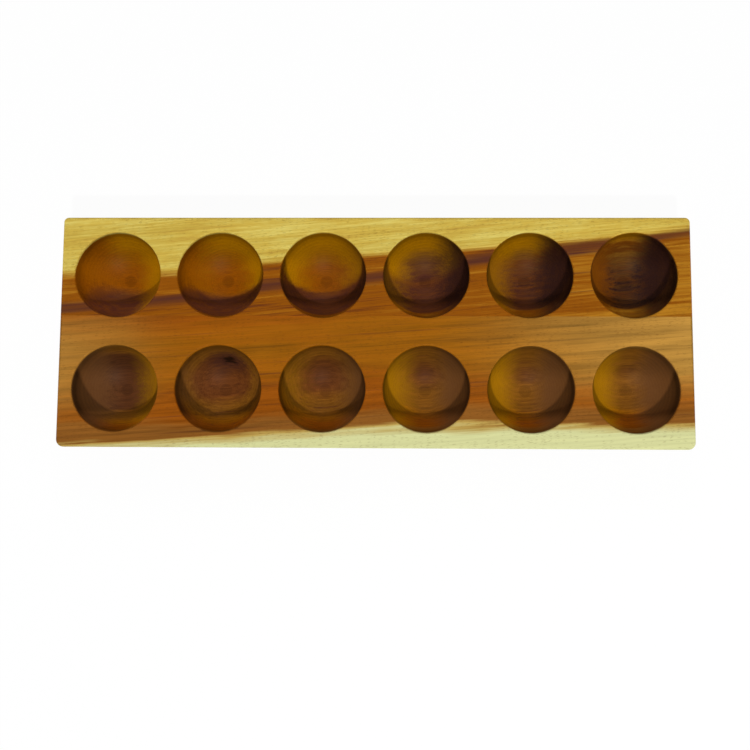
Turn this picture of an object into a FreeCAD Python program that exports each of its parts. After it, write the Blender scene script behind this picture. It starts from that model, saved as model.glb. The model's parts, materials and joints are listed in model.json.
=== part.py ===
"""Egg holder tray: a solid wooden board with two rows of round wells, one egg to a well.

The board is two staves glued edge to edge. It is machined only after the glue has set, so the wells and
the eased edges run across the glue plane. The model follows that order: one board with its wells and
rounded edges, then two stave blanks that meet on the glue plane. Each stave is the board's wood inside its
own blank, so the two fit face to face, and a well that crosses the glue plane is cut into both.

Frame: millimetres, +X along the board, +Y to the rear, +Z up, origin at the middle of the underside.
"""

import FreeCAD, Part
import Sketcher
import math
import os

# name, value, what it measures
DIMENSIONS = [
    ("wells_along", 6, "wells in a row"),
    ("wells_across", 2, "rows of wells"),
    ("pitch_along", 62.5, "from well centre to well centre in a row"),
    ("pitch_across", 69.0, "from the front row's centre line to the rear row's"),
    ("rim_diameter", 52.4, "a well at the top face, before its rim is bevelled"),
    ("well_depth", 24.5, "from the top face to the lowest point of a well"),
    ("floor_thickness", 7.25, "wood left under a well"),
    ("end_margin", 8.05, "from an end of the board to the nearest rims"),
    ("side_margin", 9.15, "from a long side of the board to the nearest rims"),
    ("rear_stave_width", 60.55, "from the rear side of the board to the glue plane"),
    ("rear_corner_radius", 3.0, "upright corners at the rear"),
    ("front_corner_radius", 4.5, "upright corners at the front, more worn"),
    ("top_edge_radius", 1.5, "easing round the top face"),
    ("under_edge_radius", 1.8, "easing round the underside"),
    ("rim_bevel", 0.7, "width and depth of the bevel round a well's rim"),
]

# Sizes that follow from the dimensions, as expressions over the sheet.
ROW_SPAN = "(Dimensions.wells_along - 1) * Dimensions.pitch_along"
COLUMN_SPAN = "(Dimensions.wells_across - 1) * Dimensions.pitch_across"
BOARD_LENGTH = f"{ROW_SPAN} + Dimensions.rim_diameter + 2 * Dimensions.end_margin"
BOARD_WIDTH = f"{COLUMN_SPAN} + Dimensions.rim_diameter + 2 * Dimensions.side_margin"
BOARD_THICKNESS = "Dimensions.well_depth + Dimensions.floor_thickness"
GLUE_PLANE_Y = f"({BOARD_WIDTH}) / 2 - Dimensions.rear_stave_width"
FRONT_STAVE_WIDTH = f"{BOARD_WIDTH} - Dimensions.rear_stave_width"

TOLERANCE = 1e-6

doc = FreeCAD.newDocument("EggHolderTray")


# ---------------------------------------------------------------- helpers

def make_sheet():
    """The spreadsheet whose cells drive every size."""
    sheet = doc.addObject("Spreadsheet::Sheet", "Dimensions")
    for row, (name, value, meaning) in enumerate(DIMENSIONS, start=1):
        sheet.set(f"A{row}", meaning)
        sheet.set(f"B{row}", str(value))
        sheet.setAlias(f"B{row}", name)
    doc.recompute()
    return sheet


def dimension(name):
    """A driving dimension's value, read from the sheet."""
    return float(sheet.get(name))


def bind(obj, bindings):
    """Ties each named property to its expression."""
    for name, expression in bindings.items():
        obj.setExpression(name, expression)


def origin_feature(body, role):
    """The body's own base plane or axis that has this role, such as XY_Plane."""
    return next(feature for feature in body.Origin.OriginFeatures if feature.Role == role)


def add_sketch(body, name, role):
    """An empty sketch on one of the body's base planes."""
    sketch = body.newObject("Sketcher::SketchObject", name)
    sketch.AttachmentSupport = (origin_feature(body, role), "")
    sketch.MapMode = "FlatFace"
    return sketch


def drive(sketch, name, constraint, expression):
    """Adds a dimension to a sketch and ties it to its expression."""
    index = sketch.addConstraint(constraint)
    sketch.renameConstraint(index, name)
    sketch.setExpression(f"Constraints.{name}", expression)


def add_fillet(body, name, radius, is_wanted):
    """Rounds the edges of the body's newest shape that pass the test."""
    base = body.Tip
    names = [f"Edge{n}" for n, edge in enumerate(base.Shape.Edges, start=1) if is_wanted(edge)]
    fillet = body.newObject("PartDesign::Fillet", name)
    fillet.Base = (base, names)
    bind(fillet, {"Radius": f"Dimensions.{radius}"})
    doc.recompute()
    return fillet


def is_upright(edge):
    """True for a straight edge that stands along Z."""
    start, end = (vertex.Point for vertex in edge.Vertexes)
    return math.hypot(start.x - end.x, start.y - end.y) < TOLERANCE


def lies_at(edge, height):
    """True for an edge whose whole length is at this height."""
    return abs(edge.BoundBox.ZMin - height) < TOLERANCE and abs(edge.BoundBox.ZMax - height) < TOLERANCE


# ---------------------------------------------------------------- board

def add_outline(body):
    """The board seen from above: a rectangle about the origin."""
    sketch = add_sketch(body, "outline", "XY_Plane")
    corners = [FreeCAD.Vector(x, y, 0) for x, y in ((-1, -1), (1, -1), (1, 1), (-1, 1))]
    front, right, rear, left = (
        sketch.addGeometry(Part.LineSegment(start, end))
        for start, end in zip(corners, corners[1:] + corners[:1])
    )
    for side, next_side in ((front, right), (right, rear), (rear, left), (left, front)):
        sketch.addConstraint(Sketcher.Constraint("Coincident", side, 2, next_side, 1))
    for side in (front, rear):
        sketch.addConstraint(Sketcher.Constraint("Horizontal", side))
    for side in (right, left):
        sketch.addConstraint(Sketcher.Constraint("Vertical", side))
    sketch.addConstraint(Sketcher.Constraint("Symmetric", front, 1, rear, 1, -1, 1))
    drive(sketch, "length", Sketcher.Constraint("DistanceX", front, 1, front, 2, 2.0), BOARD_LENGTH)
    drive(sketch, "width", Sketcher.Constraint("DistanceY", right, 1, right, 2, 2.0), BOARD_WIDTH)
    return sketch


def add_slab(body):
    """The glued and planed board, with its upright corners and both faces' edges rounded."""
    slab = body.newObject("PartDesign::Pad", "slab")
    slab.Profile = add_outline(body)
    bind(slab, {"Length": BOARD_THICKNESS})
    doc.recompute()
    top = slab.Length.Value
    add_fillet(body, "rear_corners", "rear_corner_radius", lambda e: is_upright(e) and e.CenterOfMass.y > 0)
    add_fillet(body, "front_corners", "front_corner_radius", lambda e: is_upright(e) and e.CenterOfMass.y < 0)
    add_fillet(body, "top_edge", "top_edge_radius", lambda e: lies_at(e, top))
    add_fillet(body, "under_edge", "under_edge_radius", lambda e: lies_at(e, 0))


def add_dish_profile(body):
    """Half of a well's section: the dish's arc, the small bevel that eases the rim, and the well's axis.

    The sketch's origin is on the top face, at the middle of the rear row's first well, so its vertical
    axis is that well's axis. The dish's centre lies on the axis, a little above the top face, and its
    circle runs on to the sharp rim, a construction point that the bevel takes off.
    """
    sketch = add_sketch(body, "dish_profile", "XZ_Plane")
    bind(sketch, {
        ".AttachmentOffset.Base.x": f"-({ROW_SPAN}) / 2",
        ".AttachmentOffset.Base.y": BOARD_THICKNESS,
        ".AttachmentOffset.Base.z": f"-({COLUMN_SPAN}) / 2",
    })
    half_rim = dimension("rim_diameter") / 2
    depth = dimension("well_depth")
    bevel_size = dimension("rim_bevel")
    dish_radius = (half_rim ** 2 + depth ** 2) / (2 * depth)
    centre = FreeCAD.Vector(0, dish_radius - depth, 0)
    wall_x = math.sqrt(dish_radius ** 2 - (centre.y + bevel_size) ** 2)
    wall_top = FreeCAD.Vector(wall_x, -bevel_size, 0)
    shoulder = FreeCAD.Vector(wall_x + bevel_size, 0, 0)
    middle = FreeCAD.Vector(0, 0, 0)
    bottom = FreeCAD.Vector(0, -depth, 0)
    circle = Part.Circle(centre, FreeCAD.Vector(0, 0, 1), dish_radius)
    wall_angle = math.atan2(wall_top.y - centre.y, wall_top.x - centre.x)

    dish = sketch.addGeometry(Part.ArcOfCircle(circle, -math.pi / 2, wall_angle))
    bevel = sketch.addGeometry(Part.LineSegment(wall_top, shoulder))
    lid = sketch.addGeometry(Part.LineSegment(shoulder, middle))
    axis = sketch.addGeometry(Part.LineSegment(middle, bottom))
    sharp_rim = sketch.addGeometry(Part.Point(FreeCAD.Vector(half_rim, 0, 0)), True)

    for line, end, next_line in ((dish, 2, bevel), (bevel, 2, lid), (lid, 2, axis), (axis, 2, dish)):
        sketch.addConstraint(Sketcher.Constraint("Coincident", line, end, next_line, 1))
    sketch.addConstraint(Sketcher.Constraint("Coincident", lid, 2, -1, 1))
    sketch.addConstraint(Sketcher.Constraint("Horizontal", lid))
    sketch.addConstraint(Sketcher.Constraint("Vertical", axis))
    sketch.addConstraint(Sketcher.Constraint("PointOnObject", dish, 3, -2))
    sketch.addConstraint(Sketcher.Constraint("PointOnObject", sharp_rim, 1, -1))
    sketch.addConstraint(Sketcher.Constraint("PointOnObject", sharp_rim, 1, dish))
    rim_distance = Sketcher.Constraint("DistanceX", -1, 1, sharp_rim, 1, half_rim)
    drive(sketch, "half_rim", rim_distance, "Dimensions.rim_diameter / 2")
    drive(sketch, "depth", Sketcher.Constraint("DistanceY", axis, 2, axis, 1, depth), "Dimensions.well_depth")
    bevel_width = Sketcher.Constraint("DistanceX", bevel, 1, bevel, 2, bevel_size)
    bevel_depth = Sketcher.Constraint("DistanceY", bevel, 1, bevel, 2, bevel_size)
    drive(sketch, "bevel_width", bevel_width, "Dimensions.rim_bevel")
    drive(sketch, "bevel_depth", bevel_depth, "Dimensions.rim_bevel")
    return sketch


def add_wells(body):
    """One dish with its bevelled rim, turned about its own axis and repeated along and across the rows."""
    profile = add_dish_profile(body)
    dish = body.newObject("PartDesign::Groove", "dish")
    dish.Profile = profile
    dish.ReferenceAxis = (profile, ["V_Axis"])
    dish.Angle = 360
    doc.recompute()
    wells = body.newObject("PartDesign::LinearPattern", "wells")
    wells.Originals = [dish]
    wells.Direction = (profile, ["H_Axis"])
    wells.Direction2 = (profile, ["N_Axis"])
    bind(wells, {
        "Length": ROW_SPAN,
        "Occurrences": "Dimensions.wells_along",
        "Length2": COLUMN_SPAN,
        "Occurrences2": "Dimensions.wells_across",
    })
    body.Tip = wells
    doc.recompute()
    return wells


def check_wells(slab, profile, cut):
    """Stops the build unless every well has taken the profile's own solid of revolution out."""
    face = Part.Face(profile.Shape.Wires[0])
    from_axis = face.CenterOfMass.x - profile.Placement.Base.x
    one_well = 2 * math.pi * from_axis * face.Area
    expected = one_well * dimension("wells_along") * dimension("wells_across")
    removed = slab.Volume - cut.Volume
    if abs(removed - expected) > 1e-4 * expected:
        raise RuntimeError(f"the wells remove {removed:.0f} cubic mm, and should remove {expected:.0f}")


def make_board():
    """The whole board in one piece, as it leaves the router."""
    body = doc.addObject("PartDesign::Body", "board")
    add_slab(body)
    slab = body.Tip.Shape.copy()
    add_wells(body)
    check_wells(slab, doc.getObject("dish_profile"), body.Tip.Shape)
    return body


# ---------------------------------------------------------------- staves

def make_stave(name, board, blank_width, blank_front_y):
    """The board's wood inside one stave blank, which is as long and as thick as the board."""
    blank = doc.addObject("Part::Box", f"{name}_blank")
    bind(blank, {
        "Length": BOARD_LENGTH,
        "Width": blank_width,
        "Height": BOARD_THICKNESS,
        "Placement.Base.x": f"-({BOARD_LENGTH}) / 2",
        "Placement.Base.y": blank_front_y,
    })
    stave = doc.addObject("Part::Common", name)
    stave.Label = name
    stave.Base = board
    stave.Tool = blank
    return stave


# ---------------------------------------------------------------- checks and files

def check_document(board, staves):
    """Stops before anything is written if an object failed or the staves don't make up the board."""
    for obj in doc.Objects:
        if "Invalid" in obj.State or "Error" in obj.State:
            raise RuntimeError(f"{obj.Name} failed to build: {obj.State}")
    for stave in staves:
        shape = stave.Shape
        if shape.isNull() or not shape.isValid() or len(shape.Solids) != 1:
            raise RuntimeError(f"{stave.Label} isn't one valid solid")
    total = sum(stave.Shape.Volume for stave in staves)
    if abs(total - board.Shape.Volume) > 1e-4 * total:
        raise RuntimeError("the staves don't add up to the board")


sheet = make_sheet()
board = make_board()
staves = [
    make_stave("rear_stave", board, "Dimensions.rear_stave_width", GLUE_PLANE_Y),
    make_stave("front_stave", board, FRONT_STAVE_WIDTH, f"-({BOARD_WIDTH}) / 2"),
]
doc.recompute()
check_document(board, staves)

os.makedirs("parts", exist_ok=True)
for stave in staves:
    stave.Shape.exportStep(f"parts/{stave.Label}.step")
    box = stave.Shape.optimalBoundingBox()
    print(f"{stave.Label}: {box.XLength:.2f} x {box.YLength:.2f} x {box.ZLength:.2f} mm")
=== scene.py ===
"""Egg holder tray: a two-stave wooden board with two rows of round wells, in oiled two-tone acacia.

Each stave is one closed mesh. Both are cut from the same machined board, so their wells and rounded edges
run on across the glue plane. Each has its own wood: a solid pattern in three dimensions, so the growth
layers that run along the board show as ovals where a well cuts through them.

Meshes are in metres and patterns in millimetres, +X along the board, +Y to the rear, +Z up.
"""

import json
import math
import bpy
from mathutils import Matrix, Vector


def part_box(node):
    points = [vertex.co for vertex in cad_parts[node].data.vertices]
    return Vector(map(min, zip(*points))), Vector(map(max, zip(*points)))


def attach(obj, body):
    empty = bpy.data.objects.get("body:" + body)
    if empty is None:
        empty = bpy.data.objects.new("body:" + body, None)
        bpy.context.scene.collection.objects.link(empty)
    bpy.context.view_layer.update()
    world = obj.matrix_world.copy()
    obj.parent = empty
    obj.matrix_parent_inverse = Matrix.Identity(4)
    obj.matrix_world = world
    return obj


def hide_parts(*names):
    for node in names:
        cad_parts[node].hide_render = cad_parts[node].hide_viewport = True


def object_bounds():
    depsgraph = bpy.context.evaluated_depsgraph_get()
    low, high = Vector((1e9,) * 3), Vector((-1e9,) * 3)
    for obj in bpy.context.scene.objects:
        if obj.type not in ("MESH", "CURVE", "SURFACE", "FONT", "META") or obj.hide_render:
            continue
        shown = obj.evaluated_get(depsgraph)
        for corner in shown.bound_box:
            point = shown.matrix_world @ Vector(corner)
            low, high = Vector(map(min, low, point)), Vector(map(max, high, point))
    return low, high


bl_info = {
    "name": "Egg Holder Tray",
    "version": (1, 0, 0),
    "blender": (4, 5, 0),
    "location": "3D View > Sidebar > Egg Tray",
    "description": "Builds a two-stave wooden egg tray, its wood figure and a small studio",
    "category": "Add Mesh",
}

import bmesh
import bpy
from bpy.props import FloatProperty, FloatVectorProperty, IntProperty, PointerProperty
from mathutils import Vector

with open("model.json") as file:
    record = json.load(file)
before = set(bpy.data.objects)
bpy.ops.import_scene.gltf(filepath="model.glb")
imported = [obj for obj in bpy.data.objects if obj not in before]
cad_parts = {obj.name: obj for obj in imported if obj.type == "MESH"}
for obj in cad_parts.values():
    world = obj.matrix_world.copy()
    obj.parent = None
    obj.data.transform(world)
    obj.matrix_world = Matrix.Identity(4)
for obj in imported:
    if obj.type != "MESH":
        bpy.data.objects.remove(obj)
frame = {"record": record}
CAD_LOW, CAD_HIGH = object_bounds()
GLUE_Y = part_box("rear_stave")[0].y
TOP_Z = CAD_HIGH.z
MM = 1000.0

# Places and lengths inside the wood, in millimetres.
KNOT = (-90.0, -16.0, 15.0)
WALL_REACH = 20.0
LIP_RADIUS = 27.4
UNDER_WELLS = (26.0, 28.0)
# Where the painted shadow crescent lies in each well: how far its middle sits rearward of the axis, and its
# edge.
CRESCENT_REARWARD = 8.9
CRESCENT_EDGE = (22.6, 24.2)
PITH_ACROSS = -6.0
PITH_DEPTH = 63.5
SKIN = 99.0
REAR_GRAIN_RISE = 0.09
FRONT_GRAIN_RISE = 0.07
FRONT_TURN_SHIFT = 36.0

# The stage, in metres and degrees.
WHITE = (1.0, 1.0, 1.0)
COOL_WHITE = (0.85, 0.9, 1.0)
FLOOR_RADIUS = 3.0
FLOOR_GLOW = 0.95
SOFTBOX_SIZE = 0.5
FRONT_LAMP_SIZE = 0.03
CAMERA_PLACE = (0.0142, -0.0571, 0.5089)
CAMERA_TURN = (4.78, 0.97, 0.267)
CAMERA_SHIFT = (-0.012, -0.02)


def tone(code):
    """A colour written as six hexadecimal digits, as the linear values that Blender works in."""
    parts = [int(code[i:i + 2], 16) / 255 for i in (0, 2, 4)]
    return tuple(p / 12.92 if p <= 0.04045 else ((p + 0.055) / 1.055) ** 2.4 for p in parts)


def well_axes():
    """The middle of each well, as (x, y), from the openings that the record states."""
    openings = frame["record"]["physics"]["openings"]
    boxes = [o["box_m"] for o in openings if o["name"].endswith("_mouth")]
    return [((low[0] + high[0]) / 2, (low[1] + high[1]) / 2) for low, high in boxes]


# ---------------------------------------------------------------- settings

def length(name, description, default):
    """A size in metres, shown in the scene's own unit."""
    return FloatProperty(name=name, description=description, default=default, min=0, subtype="DISTANCE",
                         unit="LENGTH", precision=4)


def colour(name, description, code):
    """A colour that a user can pick."""
    return FloatVectorProperty(name=name, description=description, default=tone(code), subtype="COLOR",
                               size=3, min=0, max=1)


class EGGTRAY_PG_board(bpy.types.PropertyGroup):
    """Sizes of the machining that both staves share."""

    rim_radius: length("Rim radius", "Sharp rim of a well at the top face", 0.0262)
    well_depth: length("Well depth", "Top face to the lowest point of a well", 0.0245)
    rim_ease: length("Rim easing", "Radius of the rounded rim of a well", 0.0009)
    top_ease: length("Top easing", "Radius round the top face", 0.0015)
    under_ease: length("Underside easing", "Radius round the underside", 0.0018)
    rear_corner: length("Rear corners", "Radius of the upright rear corners", 0.003)
    front_corner: length("Front corners", "Radius of the upright front corners", 0.0045)
    turned_steps: IntProperty(name="Turned steps", description="Facets round a well", default=120, min=24)


class EGGTRAY_PG_rear_wood(bpy.types.PropertyGroup):
    """Colours of the rear stave."""

    sapwood: colour("Sapwood", "Pale wood along the rear edge", "c8aa46")
    sapwood_light: colour("Light sapwood", "Palest bands in the sapwood", "d4c468")
    sapwood_shade: colour("Sapwood shade", "Darker bands in the sapwood", "b88e3a")
    # Also the painted sheen on the outward walls of the left and middle wells.
    golden: colour("Golden wood", "Layers under the sapwood, bare in the wells", "b07600")
    # Also painted shade on the inward walls of the left wells and painted sheen on the outward walls at the
    # right.
    ember: colour("Orange wood", "Deep layers at the left end, bare in the wells", "8e4c00")
    heartwood: colour("Heartwood", "Main colour of the heartwood", "8a4c06")
    heartwood_light: colour("Light bands", "Lightest bands of the heartwood", "a8701a")
    heartwood_shade: colour("Brown bands", "Darker bands of the heartwood", "6c3410")
    streak: colour("Dark streak", "Purple-brown streak beside the sapwood", "522a1c")
    # Painted shade on the inward walls of the right wells; also the dark streak deep at the right end.
    dark_wood_and_painted_shade: colour("Dull wood", "Where a wall cuts across the grain", "2e1814")
    pores: colour("Pores", "Short dark pores along the grain", "5a3208")


class EGGTRAY_PG_front_wood(bpy.types.PropertyGroup):
    """Colours of the front stave, from the innermost growth layers out to the sapwood."""

    core: colour("Core", "Innermost layers, at the bottom of the wells", "643416")
    umber: colour("Umber layers", "Brown layers outside the core", "805014")
    tan: colour("Tan layers", "The same layers where they come up at the right end", "b08238")
    golden: colour("Golden layers", "Layers along the middle of the board", "965a08")
    painted_sheen: colour("Golden walls", "Walls of the wells that face outwards", "b88004")
    # Painted sheen on the walls of the wells that face outwards.
    orange: colour("Orange layers", "Red-orange layers", "8a4806")
    brown: colour("Brown layers", "Last layers of the heartwood", "84521c")
    sapwood: colour("Sapwood", "Pale wood along the front edge", "cccc92")
    sapwood_shade: colour("Sapwood shade", "First layers of the sapwood", "b3964c")
    # Painted shade on the walls of the wells that face inwards.
    dark_wood_and_painted_shade: colour("Dull wood", "Where a wall cuts across the grain", "6a4424")
    brown_streak: colour("Brown streaks", "Narrow streaks in the heartwood", "5c3018")
    stain: colour("Knot stain", "Dark wood round the knot", "3c2018")
    knot: colour("Knot", "Dark knot in the second well", "1c0d05")
    pores: colour("Pores", "Short dark pores along the grain", "5a3208")


class EGGTRAY_PG_studio(bpy.types.PropertyGroup):
    """The stage round the tray."""

    floor: colour("Floor", "Colour of the floor", "f4f4f2")
    side_power: FloatProperty(name="Side power", description="Each side lamp, in watts", default=1.0, min=0)
    front_power: FloatProperty(name="Front power", description="Front lamp, in watts", default=10.5, min=0)
    rear_power: FloatProperty(name="Rear power", description="The rear lamp, in watts", default=3.0, min=0)
    fill: FloatProperty(name="Fill", description="Strength of the even light", default=0.18, min=0)
    lens: FloatProperty(name="Lens", description="Focal length in millimetres", default=38.4, min=1)


# ---------------------------------------------------------------- shapes

def round_edges(bm, wanted, radius, segments):
    """Rounds every edge that passes the test."""
    edges = [edge for edge in bm.edges if wanted(edge)]
    bmesh.ops.bevel(bm, geom=edges, offset=radius, offset_type="OFFSET", segments=segments, profile=0.5,
                    affect="EDGES", material=-1, clamp_overlap=True)


def stands_upright(edge):
    """True for an edge along Z."""
    a, b = (vert.co for vert in edge.verts)
    return abs(a.x - b.x) < 1e-6 and abs(a.y - b.y) < 1e-6


def lies_at(edge, height):
    """True for an edge at this height."""
    return all(abs(vert.co.z - height) < 1e-6 for vert in edge.verts)


def add_slab(bm, board):
    """A block that fills the frame's box, rounded at its corners and outlines, and open at the top."""
    bmesh.ops.create_cube(bm, size=1.0)
    bmesh.ops.scale(bm, vec=CAD_HIGH - CAD_LOW, verts=bm.verts)
    bmesh.ops.translate(bm, vec=(CAD_HIGH + CAD_LOW) / 2, verts=bm.verts)
    round_edges(bm, lambda e: stands_upright(e) and e.verts[0].co.y > 0, board.rear_corner, 8)
    round_edges(bm, lambda e: stands_upright(e) and e.verts[0].co.y < 0, board.front_corner, 8)
    round_edges(bm, lambda e: lies_at(e, TOP_Z), board.top_ease, 6)
    round_edges(bm, lambda e: lies_at(e, CAD_LOW.z), board.under_ease, 6)
    lid = max((face for face in bm.faces if face.normal.z > 0.999), key=lambda face: face.calc_area())
    bmesh.ops.delete(bm, geom=[lid], context="FACES_ONLY")


def turned_well(board):
    """A mesh of one well round the origin, with its top at z = 0: a spherical dish and a rolled rim.

    A single vertex at the lowest point is spun up the dish's arc and on over the rim. That profile is then
    spun about the well's axis.
    """
    dish_radius = (board.rim_radius ** 2 + board.well_depth ** 2) / (2 * board.well_depth)
    rise = dish_radius - board.well_depth
    roll_x = math.sqrt((dish_radius + board.rim_ease) ** 2 - (rise + board.rim_ease) ** 2)
    swing = math.atan2(roll_x, rise + board.rim_ease)

    bm = bmesh.new()
    bottom = bm.verts.new((0, 0, -board.well_depth))
    dish = bmesh.ops.spin(bm, geom=[bottom], cent=(0, 0, rise), axis=(0, -1, 0), steps=36, angle=swing,
                          use_merge=False, use_duplicate=False)
    wall_top = dish["geom_last"][0]
    bmesh.ops.spin(bm, geom=[wall_top], cent=(roll_x, 0, -board.rim_ease), axis=(0, 1, 0), steps=6,
                   angle=swing, use_merge=False, use_duplicate=False)
    bmesh.ops.spin(bm, geom=[*bm.verts, *bm.edges], cent=(0, 0, 0), axis=(0, 0, 1),
                   steps=board.turned_steps, angle=math.tau, use_merge=True, use_duplicate=False)
    bmesh.ops.remove_doubles(bm, verts=bm.verts, dist=1e-6)
    mesh = bpy.data.meshes.new("well")
    bm.to_mesh(mesh)
    bm.free()
    return mesh


def machined_board(board):
    """The whole board with its wells, closed, as a bmesh."""
    well = turned_well(board)
    bm = bmesh.new()
    add_slab(bm, board)
    for x, y in well_axes():
        earlier = set(bm.verts)
        bm.from_mesh(well)
        bmesh.ops.translate(bm, vec=(x, y, TOP_Z), verts=[v for v in bm.verts if v not in earlier])
    bpy.data.meshes.remove(well)
    open_edges = [edge for edge in bm.edges if edge.is_boundary]
    bmesh.ops.triangle_fill(bm, edges=open_edges, use_beauty=True, use_dissolve=False, normal=(0, 0, 1))
    return bm


def cut_at_glue_plane(bm, keep_rear):
    """Keeps one side of the glue plane and closes the cut."""
    everything = [*bm.verts, *bm.edges, *bm.faces]
    cut = bmesh.ops.bisect_plane(bm, geom=everything, dist=1e-7, plane_co=(0, GLUE_Y, 0),
                                 plane_no=(0, 1, 0), clear_inner=keep_rear, clear_outer=not keep_rear)
    cut_edges = [item for item in cut["geom_cut"] if isinstance(item, bmesh.types.BMEdge)]
    bmesh.ops.triangle_fill(bm, edges=cut_edges, use_beauty=True, use_dissolve=False, normal=(0, 1, 0))


def finish_mesh(bm, name):
    """Turns the bmesh into an object, its faces outwards, flat where planed and smooth elsewhere."""
    bmesh.ops.recalc_face_normals(bm, faces=bm.faces)
    for face in bm.faces:
        face.smooth = max(map(abs, face.normal)) < 0.9999
    mesh = bpy.data.meshes.new(name)
    bm.to_mesh(mesh)
    bm.free()
    piece = bpy.data.objects.new(name, mesh)
    bpy.context.scene.collection.objects.link(piece)
    return piece


# ---------------------------------------------------------------- node helpers

class Tree:
    """Adds nodes to a node tree and joins them up."""

    def __init__(self, node_tree):
        self.nodes = node_tree.nodes
        self.links = node_tree.links

    def add(self, kind, inputs=None, **settings):
        """Adds a node, sets its settings, and sets or links each named input."""
        node = self.nodes.new(kind)
        for name, value in settings.items():
            setattr(node, name, value)
        for name, value in (inputs or {}).items():
            self.put(node.inputs[name], value)
        return node

    def put(self, socket, value):
        """Links an input to a socket, or sets its own value."""
        if isinstance(value, bpy.types.NodeSocket):
            self.links.new(value, socket)
        elif socket.type == "RGBA" and len(value) == 3:
            socket.default_value = (*value, 1.0)
        else:
            socket.default_value = value

    def math(self, operation, *values, clamp=False):
        """A Math node's result."""
        node = self.add("ShaderNodeMath", dict(enumerate(values)), operation=operation, use_clamp=clamp)
        return node.outputs[0]

    def vector(self, operation, *values, output=0):
        """A Vector Math node's result."""
        node = self.add("ShaderNodeVectorMath", dict(enumerate(values)), operation=operation)
        return node.outputs[output]

    def xyz(self, x, y, z):
        """Three values as one vector."""
        return self.add("ShaderNodeCombineXYZ", {0: x, 1: y, 2: z}).outputs[0]

    def step(self, value, low, high):
        """0 below low, 1 above high, and a smooth rise between. With low above high it falls."""
        inputs = {"Value": value, "From Min": low, "From Max": high}
        return self.add("ShaderNodeMapRange", inputs, interpolation_type="SMOOTHSTEP").outputs[0]

    def mix(self, factor, first, second, blend="MIX"):
        """One colour over another."""
        inputs = {0: factor, 6: first, 7: second}
        node = self.add("ShaderNodeMix", inputs, data_type="RGBA", blend_type=blend, clamp_result=False)
        return node.outputs[2]

    def ramp(self, value, stops):
        """A colour ramp over values of any range. Each stop is (value, colour)."""
        low, high = stops[0][0], stops[-1][0]
        inputs = {"Value": value, "From Min": low, "From Max": high}
        share = self.add("ShaderNodeMapRange", inputs).outputs[0]
        node = self.add("ShaderNodeValToRGB", {"Fac": share})
        for place, shade in stops[1:-1]:
            node.color_ramp.elements.new((place - low) / (high - low)).color = (*shade, 1)
        node.color_ramp.elements[0].color = (*stops[0][1], 1)
        node.color_ramp.elements[-1].color = (*stops[-1][1], 1)
        return node.outputs[0]

    def curve(self, value, points):
        """A smooth curve through given points, each (value, result)."""
        ends = points[0][0], points[-1][0]
        results = [result for _, result in points]
        low, high = min(results), max(results)
        inputs = {"Value": value, "From Min": ends[0], "From Max": ends[1]}
        share = self.add("ShaderNodeMapRange", inputs).outputs[0]
        node = self.add("ShaderNodeFloatCurve", {"Value": share})
        spots = [((v - ends[0]) / (ends[1] - ends[0]), (r - low) / (high - low)) for v, r in points]
        line = node.mapping.curves[0]
        line.points[0].location = spots[0]
        line.points[1].location = spots[-1]
        for spot in spots[1:-1]:
            line.points.new(*spot)
        node.mapping.update()
        inputs = {"Value": node.outputs[0], "To Min": low, "To Max": high}
        return self.add("ShaderNodeMapRange", inputs, clamp=False).outputs[0]


def new_group(name, inputs, outputs):
    """An empty shader group. Inputs are (name, kind, default), outputs (name, kind). Returns its Tree."""
    group = bpy.data.node_groups.new(name, "ShaderNodeTree")
    for label, kind, default in inputs:
        socket = group.interface.new_socket(name=label, in_out="INPUT", socket_type=kind)
        if default is not None:
            socket.default_value = default
    for label, kind in outputs:
        group.interface.new_socket(name=label, in_out="OUTPUT", socket_type=kind)
    tree = Tree(group)
    tree.given = tree.nodes.new("NodeGroupInput").outputs
    tree.result = tree.nodes.new("NodeGroupOutput").inputs
    return group, tree


def use_group(tree, group, inputs):
    """Places a group in a tree and returns its outputs."""
    node = tree.nodes.new("ShaderNodeGroup")
    node.node_tree = group
    for name, value in inputs.items():
        tree.put(node.inputs[name], value)
    return node.outputs


def scaled_sum(tree, *terms):
    """The sum of values, each times its own weight."""
    total = None
    for value, weight in terms:
        part = tree.math("MULTIPLY", value, weight)
        total = part if total is None else tree.math("ADD", total, part)
    return total


# ---------------------------------------------------------------- wood groups

def board_place_group():
    """Object coordinates as places in the board, in millimetres. Straight is across less the rise."""
    group, t = new_group(
        "board_place",
        [("Object", "NodeSocketVector", None), ("Rise", "NodeSocketFloat", 0.0)],
        [("Along", "NodeSocketFloat"), ("Across", "NodeSocketFloat"), ("Height", "NodeSocketFloat"),
         ("Depth", "NodeSocketFloat"), ("Straight", "NodeSocketFloat")],
    )
    place = t.vector("MULTIPLY", t.given["Object"], (MM, MM, MM))
    x, y, z = t.add("ShaderNodeSeparateXYZ", {0: place}).outputs
    t.put(t.result["Along"], x)
    t.put(t.result["Across"], y)
    t.put(t.result["Height"], z)
    t.put(t.result["Depth"], t.math("SUBTRACT", TOP_Z * MM, z))
    t.put(t.result["Straight"], t.math("SUBTRACT", y, t.math("MULTIPLY", x, t.given["Rise"])))
    return group


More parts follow.
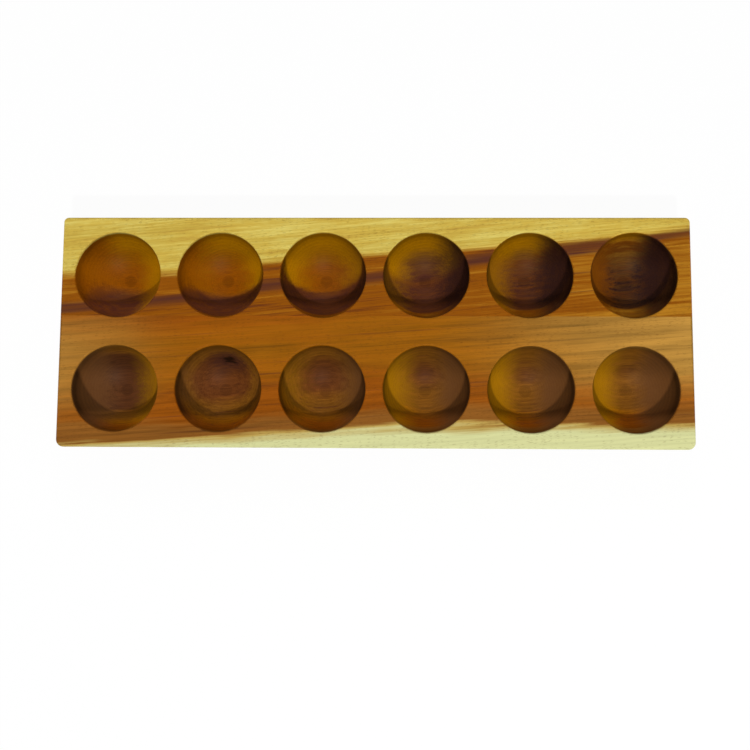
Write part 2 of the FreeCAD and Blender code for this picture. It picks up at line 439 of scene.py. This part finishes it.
def well_place_group():
    """Where a point lies in its well. Everything is 0 outside the wells, but for Radius.

    Inside fades in below the lip and ends under the deepest point, so the underside has none. Side runs
    from -1 on the left wall to 1 on the right, and Front from -1 on the rear wall to 1 on the front. Radius
    is the distance from the well's axis. Rim is 1 on the rounded lip, where a highlight is painted. The last
    output is 1 on the steep wall in a crescent round the sides and the front: where a shadow is painted.
    """
    group, t = new_group(
        "well_place",
        [("Along", "NodeSocketFloat", 0.0), ("Across", "NodeSocketFloat", 0.0),
         ("Depth", "NodeSocketFloat", 0.0), ("Pitch Along", "NodeSocketFloat", 60.0),
         ("Pitch Across", "NodeSocketFloat", 60.0), ("Reach", "NodeSocketFloat", WALL_REACH)],
        [("Inside", "NodeSocketFloat"), ("Side", "NodeSocketFloat"), ("Front", "NodeSocketFloat"),
         ("Radius", "NodeSocketFloat"), ("Rim", "NodeSocketFloat"), ("Crescent", "NodeSocketFloat")],
    )
    offsets = []
    for name in ("Along", "Across"):
        pitch = t.given[f"Pitch {name}"]
        in_pitch = t.math("WRAP", t.given[name], pitch, 0.0)
        offsets.append(t.math("SUBTRACT", in_pitch, t.math("DIVIDE", pitch, 2.0)))
    radius = t.vector("LENGTH", t.xyz(*offsets, 0.0), output=1)
    in_well = t.math("LESS_THAN", radius, LIP_RADIUS)
    above_floor = t.math("MULTIPLY", t.step(t.given["Depth"], UNDER_WELLS[1], UNDER_WELLS[0]), in_well)
    inside = t.math("MULTIPLY", t.step(t.given["Depth"], 0.2, 3.0), above_floor)
    lip = t.math("MULTIPLY", t.step(t.given["Depth"], 0.05, 0.3), t.step(t.given["Depth"], 1.9, 0.9))
    t.put(t.result["Inside"], inside)
    t.put(t.result["Side"], t.math("MULTIPLY", t.math("DIVIDE", offsets[0], t.given["Reach"]), inside))
    forward = t.math("MULTIPLY", offsets[1], -1.0)
    t.put(t.result["Front"], t.math("MULTIPLY", t.math("DIVIDE", forward, t.given["Reach"]), inside))
    t.put(t.result["Radius"], radius)
    t.put(t.result["Rim"], t.math("MULTIPLY", lip, in_well))
    # Painted shadow: a crescent round the sides and the front of each well, centred rearward of its axis.
    rearward = t.math("SUBTRACT", offsets[1], CRESCENT_REARWARD)
    from_rearward = t.vector("LENGTH", t.xyz(offsets[0], rearward, 0.0), output=1)
    t.put(t.result["Crescent"], t.math("MULTIPLY", t.step(from_rearward, *CRESCENT_EDGE), inside))
    return group


def fibre_group():
    """Soft streaks along the grain, from about -1 to 1. Length and Width are in millimetres."""
    group, t = new_group(
        "fibre",
        [("Grain", "NodeSocketVector", None), ("Length", "NodeSocketFloat", 100.0),
         ("Width", "NodeSocketFloat", 4.0), ("Seed", "NodeSocketFloat", 0.0)],
        [("Value", "NodeSocketFloat")],
    )
    widths = t.xyz(t.given["Length"], t.given["Width"], t.given["Width"])
    place = t.vector("DIVIDE", t.given["Grain"], widths)
    inputs = {"Vector": place, "W": t.given["Seed"], "Scale": 1.0, "Detail": 4.0, "Roughness": 0.6}
    noise = t.add("ShaderNodeTexNoise", inputs, noise_dimensions="4D").outputs[0]
    t.put(t.result["Value"], t.math("MULTIPLY", t.math("SUBTRACT", noise, 0.5), 5.0))
    return group


def pores_group():
    """Short dashes along the grain, in loose clusters, as a mask. Share is how many places hold one."""
    group, t = new_group(
        "pores",
        [("Grain", "NodeSocketVector", None), ("Length", "NodeSocketFloat", 4.0),
         ("Width", "NodeSocketFloat", 0.5), ("Share", "NodeSocketFloat", 0.4)],
        [("Mask", "NodeSocketFloat")],
    )
    widths = t.xyz(t.given["Length"], t.given["Width"], t.given["Width"])
    wander = t.add("ShaderNodeTexNoise", {"Vector": t.given["Grain"], "Scale": 0.35, "Detail": 1.0})
    bent = t.vector("ADD", t.given["Grain"], wander.outputs["Color"])
    cells = t.add("ShaderNodeTexVoronoi", {"Vector": t.vector("DIVIDE", bent, widths), "Scale": 1.0})
    spot = t.step(cells.outputs["Distance"], 0.45, 0.1)
    pick = t.add("ShaderNodeSeparateColor", {0: cells.outputs["Color"]}).outputs[0]
    places = t.vector("DIVIDE", t.given["Grain"], (30.0, 9.0, 9.0))
    crowd = t.add("ShaderNodeTexNoise", {"Vector": places, "Scale": 1.0, "Detail": 2.0}).outputs[0]
    share = t.math("MULTIPLY", t.given["Share"], t.step(crowd, 0.35, 0.65))
    t.put(t.result["Mask"], t.math("MULTIPLY", spot, t.math("LESS_THAN", pick, share)))
    return group


def growth_group():
    """Growth layers round a pith that lies along the board: the distance from it, and fine ring lines."""
    group, t = new_group(
        "growth",
        [("Grain", "NodeSocketVector", None), ("Pith Across", "NodeSocketFloat", 0.0),
         ("Pith Height", "NodeSocketFloat", 0.0), ("Spacing", "NodeSocketFloat", 2.0),
         ("Wobble", "NodeSocketFloat", 1.0)],
        [("Distance", "NodeSocketFloat"), ("Rings", "NodeSocketFloat")],
    )
    x, y, z = t.add("ShaderNodeSeparateXYZ", {0: t.given["Grain"]}).outputs
    across = t.math("SUBTRACT", y, t.given["Pith Across"])
    height = t.math("SUBTRACT", z, t.given["Pith Height"])
    distance = t.vector("LENGTH", t.xyz(0.0, across, height), output=1)
    drift = t.add("ShaderNodeTexNoise", {"Vector": t.vector("DIVIDE", t.given["Grain"], (55.0, 18.0, 18.0)),
                                         "Scale": 1.0, "Detail": 2.0}).outputs[0]
    swing = t.math("MULTIPLY", t.math("SUBTRACT", drift, 0.5), t.given["Wobble"])
    wandering = t.math("ADD", distance, swing)
    t.put(t.result["Distance"], wandering)
    turn = t.math("MULTIPLY", t.math("DIVIDE", wandering, t.given["Spacing"]), math.tau)
    t.put(t.result["Rings"], t.math("SINE", turn))
    return group


def knot_group():
    """A knot and the dark stain that trails from it along the grain, as two masks."""
    group, t = new_group(
        "knot",
        [("Place", "NodeSocketVector", None), ("Centre", "NodeSocketVector", None),
         ("Length", "NodeSocketFloat", 14.0), ("Width", "NodeSocketFloat", 7.0)],
        [("Stain", "NodeSocketFloat"), ("Heart", "NodeSocketFloat")],
    )
    offset = t.vector("SUBTRACT", t.given["Place"], t.given["Centre"])
    inputs = {"Vector": t.vector("DIVIDE", offset, (6.0, 1.2, 1.2)), "Scale": 1.0, "Detail": 3.0}
    rough = t.add("ShaderNodeTexNoise", inputs).outputs[0]
    widths = t.xyz(t.given["Length"], t.given["Width"], t.given["Width"])
    reach = t.vector("LENGTH", t.vector("DIVIDE", offset, widths), output=1)
    ragged = t.math("ADD", reach, t.math("MULTIPLY", t.math("SUBTRACT", rough, 0.5), 0.9))
    t.put(t.result["Stain"], t.step(ragged, 1.1, 0.1))
    t.put(t.result["Heart"], t.step(ragged, 0.32, 0.12))
    return group


def painted_wall_light_group():
    """Which way a wall of a well faces along the board, from about -1, outwards, to 1, inwards.

    It sets where light and shade are painted onto the walls: the walls that face outwards, towards the
    nearer end of the board, get a painted golden sheen, and those that face inwards get painted shade. The
    sign turns over a little left of the middle of the board, and the streaks of the figure blur it.
    """
    group, t = new_group(
        "painted_wall_light",
        [("Along", "NodeSocketFloat", 0.0), ("Side", "NodeSocketFloat", 0.0),
         ("Figure", "NodeSocketFloat", 0.0)],
        [("Cut", "NodeSocketFloat")],
    )
    facing_turn = [(-190, -1), (-125, -0.8), (-62, -0.1), (0, 0.45), (62, 0.8), (190, 1)]
    cut = t.math("MULTIPLY", t.given["Side"], t.curve(t.given["Along"], facing_turn))
    t.put(t.result["Cut"], scaled_sum(t, (cut, 1.0), (t.given["Figure"], 0.12)))
    return group


def cutter_marks_and_painted_light_group():
    """What the cutter left in the wells, with the light and shade painted into them, as a tone to lighten or
    darken the wood by.

    There are fine cutter rings and a darker spot at the bottom. Painted on top are a highlight on the
    rounded lip, shade on the steep walls and the rear walls, a shadow in the crescent round the sides and
    the front, and a brighter band of bounced light on the front walls beyond it.
    """
    group, t = new_group(
        "cutter_marks_and_painted_light",
        [("Inside", "NodeSocketFloat", 0.0), ("Front", "NodeSocketFloat", 0.0),
         ("Radius", "NodeSocketFloat", 30.0), ("Rim", "NodeSocketFloat", 0.0),
         ("Crescent", "NodeSocketFloat", 0.0), ("Fine", "NodeSocketFloat", 0.0),
         ("Ring Spacing", "NodeSocketFloat", 1.35)],
        [("Tone", "NodeSocketFloat")],
    )
    turns = t.math("MULTIPLY", t.math("DIVIDE", t.given["Radius"], t.given["Ring Spacing"]), math.tau)
    rings = t.math("MULTIPLY", t.math("SINE", turns), t.given["Inside"])
    rings = t.math("MULTIPLY", rings, t.math("ADD", 0.035, t.math("MULTIPLY", t.given["Fine"], 0.05)))
    spot = t.math("MULTIPLY", t.step(t.given["Radius"], 4.5, 3.0), t.given["Inside"])
    # Painted light: a brighter band of bounced light on the front walls.
    glow = t.math("MULTIPLY", t.step(t.given["Front"], 0.6, 0.95), t.step(t.given["Front"], 1.5, 1.0))
    # Painted shade on the rear walls.
    rear = t.step(t.given["Front"], -0.2, -0.9)
    # Painted shade on the steep walls just below the lip.
    steep = t.math("MULTIPLY", t.step(t.given["Radius"], 23.5, 26.0), t.given["Inside"])
    # The lip gets a painted highlight and the crescent a painted shadow.
    marks = scaled_sum(t, (rings, 1.0), (spot, -0.2), (t.given["Rim"], 0.12), (glow, 0.7), (rear, -0.35),
                       (steep, -0.25), (t.given["Crescent"], -0.5))
    t.put(t.result["Tone"], marks)
    return group


def wood_groups():
    """The groups that both staves' woods use, built once."""
    return {
        "board_place": board_place_group(),
        "well_place": well_place_group(),
        "fibre": fibre_group(),
        "pores": pores_group(),
        "growth": growth_group(),
        "knot": knot_group(),
        "painted_wall_light": painted_wall_light_group(),
        "cutter_marks_and_painted_light": cutter_marks_and_painted_light_group(),
    }


# ---------------------------------------------------------------- woods

def start_wood(name, rise):
    """A new material, its Tree, and where a point lies in the board and in its well."""
    material = bpy.data.materials.new(name)
    material.use_nodes = True
    material.node_tree.nodes.clear()
    t = Tree(material.node_tree)
    inputs = {"Object": t.add("ShaderNodeTexCoord").outputs["Object"], "Rise": rise}
    place = use_group(t, GROUPS["board_place"], inputs)
    xs = sorted({x for x, _ in well_axes()})
    ys = sorted({y for _, y in well_axes()})
    inputs = {"Along": place["Along"], "Across": place["Across"], "Depth": place["Depth"],
              "Pitch Along": (xs[1] - xs[0]) * MM, "Pitch Across": (ys[1] - ys[0]) * MM, "Reach": WALL_REACH}
    well = use_group(t, GROUPS["well_place"], inputs)
    space = {key: place[key] for key in ("Along", "Across", "Depth")}
    space.update({key: well[key] for key in ("Inside", "Side", "Front", "Radius", "Rim", "Crescent")})
    space["Place"] = t.xyz(place["Along"], place["Across"], place["Height"])
    space["Grain"] = t.xyz(place["Along"], place["Straight"], place["Height"])
    return material, t, space


def fibre(tree, space, long, wide, seed):
    """Streaks of one length and width."""
    inputs = {"Grain": space["Grain"], "Length": long, "Width": wide, "Seed": seed}
    return use_group(tree, GROUPS["fibre"], inputs)["Value"]


def shaded(tree, base, amount):
    """A colour made lighter where the amount is above 0 and darker where it is below."""
    tint = tree.math("ADD", 1.0, amount)
    return tree.mix(1.0, base, tree.xyz(tint, tint, tint), "MULTIPLY")


def machine_marks_and_painted_light(tree, space, base, fine, crescent):
    """A wood with the cutter's marks in its wells, and the light and shade painted onto their walls."""
    inputs = {key: space[key] for key in ("Inside", "Front", "Radius", "Rim")}
    inputs.update({"Crescent": crescent, "Fine": fine})
    return shaded(tree, base, use_group(tree, GROUPS["cutter_marks_and_painted_light"], inputs)["Tone"])


def cut_flecks(tree, space, seed):
    """Short dashes where the cutter crossed the fibres, in the wells only."""
    dashes = fibre(tree, space, 7.0, 0.4, seed)
    return tree.math("MULTIPLY", dashes, space["Inside"])


def finish_wood(tree, base, fine, pores):
    """The oiled surface: satin, a little rougher in the pores, with the grain just felt."""
    roughness = tree.math("ADD", 0.5, tree.math("MULTIPLY", fine, 0.05))
    roughness = tree.math("ADD", roughness, tree.math("MULTIPLY", pores, 0.2), clamp=True)
    height = scaled_sum(tree, (fine, 0.25), (pores, -1.0))
    bump = tree.add("ShaderNodeBump", {"Strength": 0.25, "Distance": 0.0001, "Height": height})
    shader = tree.add("ShaderNodeBsdfPrincipled", {
        "Base Color": base, "Roughness": roughness, "Normal": bump.outputs[0], "Specular IOR Level": 0.04,
    })
    tree.add("ShaderNodeOutputMaterial", {"Surface": shader.outputs[0]})


def with_pores(tree, space, base, shade):
    """The wood with its open pores. Returns the colour and the pore mask."""
    inputs = {"Grain": space["Grain"], "Length": 4.0, "Width": 0.4, "Share": 0.7}
    pores = use_group(tree, GROUPS["pores"], inputs)["Mask"]
    return tree.mix(tree.math("MULTIPLY", pores, 0.45), base, shade), pores


def painted_wall_light(tree, space, figure, shift):
    """Which way each wall faces, for the painted light and shade on the walls, with its streaks. The shift
    moves the turn to the left.
    """
    along = tree.math("ADD", space["Along"], shift)
    inputs = {"Along": along, "Side": space["Side"], "Figure": figure}
    return use_group(tree, GROUPS["painted_wall_light"], inputs)["Cut"]


def thin_streaks(tree, space, base, shade, seed):
    """Narrow dark streaks in the heartwood."""
    streak = tree.step(fibre(tree, space, 130.0, 2.0, seed), 0.3, 1.0)
    return tree.mix(tree.math("MULTIPLY", streak, 0.6), base, shade)


def rear_wood(wood):
    """The rear stave's wood: sapwood over the rear edge, a dark streak beside it, then orange heartwood.

    In the wells the sapwood is shallow, and under it lie golden layers, which thin out along the board. Down
    the outer faces it goes deep. Every border runs along the top face as one curve, and leans as it goes
    down: fully in the wells, a little elsewhere.
    """
    material, t, space = start_wood("rear_stave_wood", REAR_GRAIN_RISE)
    broad = fibre(t, space, 190.0, 7.0, 1.0)
    medium = fibre(t, space, 90.0, 2.2, 2.0)
    fine = fibre(t, space, 24.0, 0.5, 3.0)
    feather = scaled_sum(t, (broad, 1.4), (medium, 1.2), (fine, 0.4))
    figure = scaled_sum(t, (medium, 0.8), (fine, 0.8))
    across = t.math("ADD", space["Across"], feather)
    along = space["Along"]
    depth = space["Depth"]
    leaning = t.math("MULTIPLY", depth, t.math("ADD", 0.25, t.math("MULTIPLY", space["Inside"], 0.75)))

    lift = t.curve(along, [(-190, 0.5), (-150, 0.0), (-94, -0.2), (31, -0.1), (94, 0.3), (190, 0.9)])
    body = t.math("ADD", scaled_sum(t, (broad, 0.6), (medium, 0.9), (fine, 0.5)), lift)
    heart = t.ramp(body, [(-1.1, wood.heartwood_shade), (-0.5, wood.heartwood), (0.1, wood.heartwood),
                          (1.2, wood.heartwood_light)])
    mottle = fibre(t, space, 40.0, 8.0, 6.0)
    flecks = fibre(t, space, 5.0, 0.6, 7.0)
    grain = scaled_sum(t, (broad, 0.3), (medium, 0.45), (fine, 0.3), (mottle, 0.6), (flecks, 0.35))
    sap = t.ramp(grain, [(-1.3, wood.sapwood_shade), (-0.2, wood.sapwood), (1.0, wood.sapwood_light)])

    border = t.curve(along, [(-190, 35), (-126, 35), (-63, 42), (0, 47), (63, 50.5), (126, 55), (190, 63)])
    past_border = t.math("SUBTRACT", across, border)
    lean = t.curve(along, [(-190, 0.1), (-94, 0.6), (-31, 0.8), (31, 0.65), (94, 0.2), (190, -0.3)])
    past_gold = t.math("ADD", past_border, t.math("MULTIPLY", lean, leaning))
    sap_lean = t.math("ADD", 0.4, t.math("MULTIPLY", space["Inside"], 7.6))
    past_sap = t.math("SUBTRACT", past_border, t.math("MULTIPLY", depth, sap_lean))

    middles = [(-190, 13), (-126, 18.5), (-63, 28), (0, 33.5), (63, 43.5), (126, 51), (190, 61)]
    middle = t.curve(along, middles)
    tilt = t.curve(along, [(-190, -0.3), (-94, 0.05), (-31, 0.35), (31, 0.4), (94, 0.5), (190, 1.1)])
    from_streak = t.math("ADD", t.math("SUBTRACT", across, middle), t.math("MULTIPLY", tilt, leaning))
    rear_reach = t.math("ADD", 5.0, t.math("MULTIPLY", leaning, 0.8))
    front_reach = t.math("SUBTRACT", -5.0, t.math("MULTIPLY", leaning, 1.3))
    behind = t.step(from_streak, rear_reach, 1.5)
    before = t.step(t.math("SUBTRACT", from_streak, front_reach), -1.0, 4.5)
    strength = scaled_sum(t, (0.85, 1.0), (medium, 0.25), (fine, 0.15))
    is_dark = t.math("MULTIPLY", t.math("MULTIPLY", behind, before), strength, clamp=True)

    deep = t.mix(t.step(along, -45.0, 25.0), wood.ember, wood.streak)
    wavy_depth = t.math("ADD", depth, t.math("MULTIPLY", feather, 1.2))
    gold = t.mix(t.step(wavy_depth, 13.0, 25.0), wood.golden, deep)
    # Painted shade on the walls that face inwards and painted sheen on those that face outwards.
    cut = painted_wall_light(t, space, figure, 0.0)
    inward_shade = t.math("MULTIPLY", t.step(cut, 0.0, 0.75), 0.9)
    at_right = t.step(along, -70.0, 20.0)
    is_gold = t.step(past_gold, -3.0, 4.0)
    is_dark = t.math("MULTIPLY", is_dark, t.math("SUBTRACT", 1.0, is_gold))

    base = thin_streaks(t, space, heart, wood.streak, 5.0)
    base = t.mix(is_gold, base, gold)
    # Painted shade on the inward walls of the left wells, in orange.
    base = t.mix(t.math("MULTIPLY", inward_shade, t.math("SUBTRACT", 1.0, at_right)), base, wood.ember)
    at_end = t.math("MULTIPLY", t.step(along, 60.0, 150.0), t.step(depth, 4.0, 16.0))
    base = t.mix(is_dark, base, t.mix(at_end, wood.streak, wood.dark_wood_and_painted_shade))
    # Painted shade on the inward walls of the right wells, in the dark wall colour.
    base = t.mix(t.math("MULTIPLY", inward_shade, at_right), base, wood.dark_wood_and_painted_shade)
    base = t.mix(t.step(past_sap, -3.0, 4.0), base, sap)
    # Painted sheen on the outward walls: golden at the left, orange at the right.
    sheen = t.mix(t.step(along, 60.0, 150.0), wood.golden, wood.ember)
    base = t.mix(t.math("MULTIPLY", t.step(cut, -0.15, -0.9), 0.65), base, sheen)
    base = shaded(t, base, scaled_sum(t, (medium, 0.08), (fine, 0.12), (cut_flecks(t, space, 4.0), 0.2)))
    # The painted shadow crescent fades out in the rear wells at the left end; then come the cutter rings and
    # the painted highlight, shade and glow.
    crescent = t.math("MULTIPLY", space["Crescent"], t.step(along, -150.0, -40.0))
    base = machine_marks_and_painted_light(t, space, base, fine, crescent)
    base, pores = with_pores(t, space, base, wood.pores)
    finish_wood(t, base, fine, pores)
    return material


def front_wood(wood):
    """The front stave's wood: growth layers round a pith below the board, out to sapwood in front."""
    material, t, space = start_wood("front_stave_wood", FRONT_GRAIN_RISE)
    broad = fibre(t, space, 190.0, 7.0, 11.0)
    medium = fibre(t, space, 90.0, 2.2, 12.0)
    fine = fibre(t, space, 24.0, 0.5, 13.0)
    figure = scaled_sum(t, (medium, 0.8), (fine, 0.8))
    along = space["Along"]
    inputs = {"Grain": space["Grain"], "Pith Across": PITH_ACROSS, "Pith Height": TOP_Z * MM - PITH_DEPTH,
              "Spacing": 2.1, "Wobble": 5.0}
    growth = use_group(t, GROUPS["growth"], inputs)
    border = t.curve(along, [(-190, 79), (-125, 80.2), (0, 81), (62, 82.3), (125, 84.8), (190, 87)])
    layer = t.math("SUBTRACT", growth["Distance"], border)
    layer = t.math("ADD", layer, scaled_sum(t, (broad, 1.3), (medium, 1.0), (fine, 0.4)))
    skin = t.math("SUBTRACT", SKIN, t.math("MULTIPLY", space["Inside"], SKIN + 3.0))
    layer = t.math("MINIMUM", layer, skin)
    base = t.ramp(layer, [(-30, wood.umber), (-22, wood.umber), (-18, wood.golden), (-13, wood.orange),
                          (-7, wood.orange), (-4, wood.brown), (-0.5, wood.brown), (1, wood.sapwood_shade),
                          (4, wood.sapwood), (9, wood.sapwood)])
    is_sapwood = t.step(layer, -4.0, 0.0)
    base = t.mix(is_sapwood, thin_streaks(t, space, base, wood.brown_streak, 15.0), base)
    core_edge = t.curve(along, [(-190, -26), (-94, -30), (0, -33), (94, -35), (190, -37)])
    is_core = t.math("MULTIPLY", t.step(t.math("SUBTRACT", layer, core_edge), 3.0, -3.0), 0.85)
    core = t.mix(t.math("MULTIPLY", t.step(along, -115.0, -150.0), 0.7), wood.core, wood.stain)
    base = t.mix(is_core, base, core)
    lift = t.curve(along, [(-190, 0.8), (-150, 0.35), (-110, 0.0), (30, 0.0), (110, 0.5), (190, 1.0)])
    is_tan = t.math("MULTIPLY", t.step(layer, -3.0, -20.0), t.step(space["Depth"], 8.0, 1.0))
    base = t.mix(t.math("MULTIPLY", is_tan, lift), base, wood.tan)
    grain = scaled_sum(t, (broad, 0.14), (medium, 0.22), (fine, 0.16), (growth["Rings"], -0.07),
                       (cut_flecks(t, space, 14.0), 0.16))
    calm = t.math("SUBTRACT", 1.0, t.math("MULTIPLY", is_sapwood, 0.65))
    base = shaded(t, base, t.math("MULTIPLY", grain, calm))
    cut = painted_wall_light(t, space, figure, FRONT_TURN_SHIFT)
    # Painted shade on the walls that face inwards and a painted golden sheen on those that face outwards.
    base = t.mix(t.math("MULTIPLY", t.step(cut, 0.0, 0.75), 0.9), base, wood.dark_wood_and_painted_shade)
    base = t.mix(t.math("MULTIPLY", t.step(cut, -0.1, -0.9), 0.75), base, wood.painted_sheen)
    # Cutter rings, with the painted highlight, shade, shadow crescent and glow in the wells.
    base = machine_marks_and_painted_light(t, space, base, fine, space["Crescent"])
    inputs = {"Place": space["Place"], "Centre": KNOT, "Length": 19.0, "Width": 12.0}
    knot = use_group(t, GROUPS["knot"], inputs)
    base = t.mix(t.math("MULTIPLY", knot["Stain"], 0.85), base, wood.stain)
    base = t.mix(knot["Heart"], base, wood.knot)
    base, pores = with_pores(t, space, base, wood.pores)
    finish_wood(t, base, fine, pores)
    return material


# ---------------------------------------------------------------- operators

def add_stave(name, keep_rear, material):
    """One stave of the machined board, in its wood, riding where the frame's own stave does."""
    bm = machined_board(bpy.context.scene.eggtray_board)
    cut_at_glue_plane(bm, keep_rear)
    piece = finish_mesh(bm, f"{name}_wood")
    piece.data.materials.append(material)
    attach(piece, "root")
    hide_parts(name)


class EGGTRAY_OT_rear_stave(bpy.types.Operator):
    """Builds the rear stave, with the rear wells and the yellow sapwood"""

    bl_idname = "eggtray.rear_stave"
    bl_label = "Rear Stave"

    def execute(self, context):
        add_stave("rear_stave", True, rear_wood(context.scene.eggtray_rear_wood))
        return {"FINISHED"}


class EGGTRAY_OT_front_stave(bpy.types.Operator):
    """Builds the front stave, with the front wells and the pale sapwood"""

    bl_idname = "eggtray.front_stave"
    bl_label = "Front Stave"

    def execute(self, context):
        add_stave("front_stave", False, front_wood(context.scene.eggtray_front_wood))
        return {"FINISHED"}


def sees_background(tree):
    """1 for the rays that should find a white background: the camera's, and those of metal and glass."""
    rays = tree.add("ShaderNodeLightPath").outputs
    mirrored = tree.math("MAXIMUM", rays["Is Glossy Ray"], rays["Is Transmission Ray"])
    return tree.math("MAXIMUM", rays["Is Camera Ray"], mirrored)


def add_floor(studio):
    """A pale floor that looks white to the camera and still takes the tray's shadow."""
    bm = bmesh.new()
    bmesh.ops.create_circle(bm, cap_ends=True, segments=96, radius=FLOOR_RADIUS)
    mesh = bpy.data.meshes.new("floor")
    bm.to_mesh(mesh)
    bm.free()
    floor = bpy.data.objects.new("floor", mesh)
    bpy.context.scene.collection.objects.link(floor)
    material = bpy.data.materials.new("floor_paper")
    material.use_nodes = True
    material.node_tree.nodes.clear()
    t = Tree(material.node_tree)
    paper = t.add("ShaderNodeBsdfDiffuse", {"Color": studio.floor})
    glow = t.add("ShaderNodeEmission", {"Color": WHITE, "Strength": 1.0})
    seen = sees_background(t)
    share = t.math("MULTIPLY", seen, FLOOR_GLOW)
    lit = t.add("ShaderNodeMixShader", {0: share, 1: paper.outputs[0], 2: glow.outputs[0]})
    t.add("ShaderNodeOutputMaterial", {"Surface": lit.outputs[0]})
    floor.data.materials.append(material)


def add_lamp(name, place, power, size):
    """A square lamp that faces the middle of the board. The larger it is, the softer its shadows."""
    light = bpy.data.lights.new(name, "AREA")
    light.energy = power
    light.size = size
    lamp = bpy.data.objects.new(name, light)
    bpy.context.scene.collection.objects.link(lamp)
    lamp.location = place
    aim = Vector((0, 0, TOP_Z)) - lamp.location
    lamp.rotation_euler = aim.to_track_quat("-Z", "Y").to_euler()


def add_world(fill):
    """Even, slightly cool light from all round, white where the camera sees past the floor."""
    world = bpy.data.worlds.new("studio")
    world.use_nodes = True
    world.node_tree.nodes.clear()
    t = Tree(world.node_tree)
    seen = sees_background(t)
    strength = t.math("ADD", fill, t.math("MULTIPLY", seen, 1.0 - fill))
    tint = t.mix(seen, COOL_WHITE, WHITE)
    background = t.add("ShaderNodeBackground", {"Color": tint, "Strength": strength})
    t.add("ShaderNodeOutputWorld", {"Surface": background.outputs[0]})
    bpy.context.scene.world = world


def add_camera(lens):
    """Looks down on the board from a little in front of its middle."""
    data = bpy.data.cameras.new("camera")
    data.lens = lens
    data.sensor_width = 36.0
    data.shift_x, data.shift_y = CAMERA_SHIFT
    camera = bpy.data.objects.new("camera", data)
    bpy.context.scene.collection.objects.link(camera)
    camera.location = CAMERA_PLACE
    camera.rotation_euler = [math.radians(angle) for angle in CAMERA_TURN]
    bpy.context.scene.camera = camera


class EGGTRAY_OT_studio(bpy.types.Operator):
    """Sets up the floor, the lamps, the fill light and the camera"""

    bl_idname = "eggtray.studio"
    bl_label = "Studio"

    def execute(self, context):
        studio = context.scene.eggtray_studio
        add_floor(studio)
        add_lamp("left_softbox", (-0.64, 0.05, 0.28), studio.side_power, SOFTBOX_SIZE)
        add_lamp("right_softbox", (0.60, -0.14, 0.30), studio.side_power, SOFTBOX_SIZE)
        add_lamp("front_lamp", (0.08, -0.67, 1.02), studio.front_power, FRONT_LAMP_SIZE)
        add_lamp("rear_softbox", (0.0, 0.8, 0.7), studio.rear_power, SOFTBOX_SIZE)
        add_world(studio.fill)
        add_camera(studio.lens)
        context.scene.view_settings.view_transform = "Standard"
        return {"FINISHED"}


class EGGTRAY_PT_panel(bpy.types.Panel):
    """Lists the tray's pieces and their settings"""

    bl_label = "Egg Holder Tray"
    bl_idname = "EGGTRAY_PT_panel"
    bl_space_type = "VIEW_3D"
    bl_region_type = "UI"
    bl_category = "Egg Tray"

    def draw(self, context):
        for operator in OPERATORS:
            self.layout.operator(operator.bl_idname)
        for name in SETTINGS:
            group = getattr(context.scene, name)
            box = self.layout.box()
            for key in group.__annotations__:
                box.prop(group, key)


SETTINGS = {
    "eggtray_board": EGGTRAY_PG_board,
    "eggtray_rear_wood": EGGTRAY_PG_rear_wood,
    "eggtray_front_wood": EGGTRAY_PG_front_wood,
    "eggtray_studio": EGGTRAY_PG_studio,
}
OPERATORS = (EGGTRAY_OT_rear_stave, EGGTRAY_OT_front_stave, EGGTRAY_OT_studio)
CLASSES = (*SETTINGS.values(), *OPERATORS, EGGTRAY_PT_panel)
GROUPS = {}


def register():
    for cls in CLASSES:
        bpy.utils.register_class(cls)
    for name, group in SETTINGS.items():
        setattr(bpy.types.Scene, name, PointerProperty(type=group))


def unregister():
    for name in SETTINGS:
        delattr(bpy.types.Scene, name)
    for cls in reversed(CLASSES):
        bpy.utils.unregister_class(cls)


def main():
    register()
    GROUPS.update(wood_groups())
    bpy.ops.eggtray.rear_stave()
    bpy.ops.eggtray.front_stave()
    bpy.ops.eggtray.studio()


if __name__ == "__main__":
    main()
